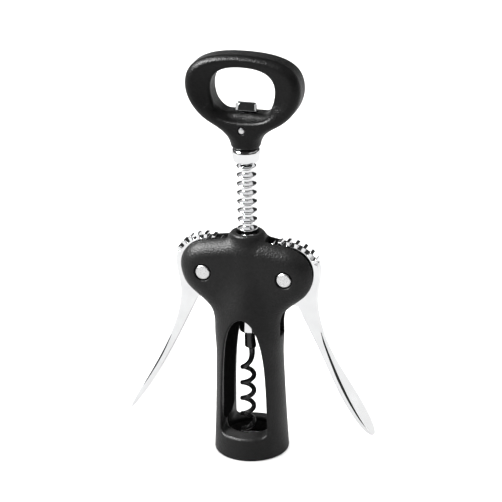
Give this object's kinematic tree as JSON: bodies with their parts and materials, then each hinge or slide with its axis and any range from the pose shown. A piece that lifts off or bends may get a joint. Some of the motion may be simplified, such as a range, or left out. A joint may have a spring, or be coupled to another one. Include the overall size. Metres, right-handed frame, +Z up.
{
  "type": "lever corkscrew",
  "caption": "Lever corkscrew: a black bell frame with arched windows, chromed geared levers, a ringed rack spindle, an open worm and a loop handle with a bottle opener.",
  "frame": {"origin": "centre of the bell's foot, on the surface that it stands on", "axes": "+Z up along the spindle, +X to the right-hand lever, -Y to the front"},
  "size_m": [0.1258, 0.0368, 0.204],
  "materials": {
    "frame_black": "fine-grained matte black",
    "handle_black": "fine-grained matte black",
    "lever_chrome": "polished chrome plating",
    "spindle_chrome": "polished chrome plating",
    "pin_steel": "satin turned steel",
    "opener_steel": "polished stamped steel",
    "worm_coating": "glossy black low-friction coating"
  },
  "bodies": {
    "frame": {"body_frame": "frame_black", "left_pivot_pin": "pin_steel", "right_pivot_pin": "pin_steel"},
    "lever_left": {"left_lever": "lever_chrome"},
    "lever_right": {"right_lever": "lever_chrome"},
    "ferrule": {"neck_ferrule": "spindle_chrome"},
    "spindle": {"rack_spindle": "spindle_chrome", "worm": "worm_coating", "worm_pin": "pin_steel", "handle_grip": "handle_black", "handle_pin": "pin_steel", "bottle_opener": "opener_steel"}
  },
  "joints": [
    {"name": "spindle_slide", "type": "slide", "parent": "frame", "child": "ferrule", "axis": [0, 0, 1], "range_m": [-0.0345, 0.0078]},
    {"name": "handle_spin", "type": "hinge", "parent": "ferrule", "child": "spindle", "pos_m": [0, 0, 0.16], "axis": [0, 0, 1], "continuous": true},
    {"name": "left_lever_pivot", "type": "hinge", "parent": "frame", "child": "lever_left", "pos_m": [-0.02034, 0, 0.09474], "axis": [0, 1, 0], "range_deg": [-25, 110.3]},
    {"name": "right_lever_pivot", "type": "hinge", "parent": "frame", "child": "lever_right", "pos_m": [0.02034, 0, 0.09474], "axis": [0, -1, 0], "range_deg": [-25, 110.3]}
  ],
  "couplings": [
    {"joint": "left_lever_pivot", "follows": "spindle_slide", "rad_per_m": -55.727},
    {"joint": "right_lever_pivot", "follows": "spindle_slide", "rad_per_m": -55.727}
  ]
}
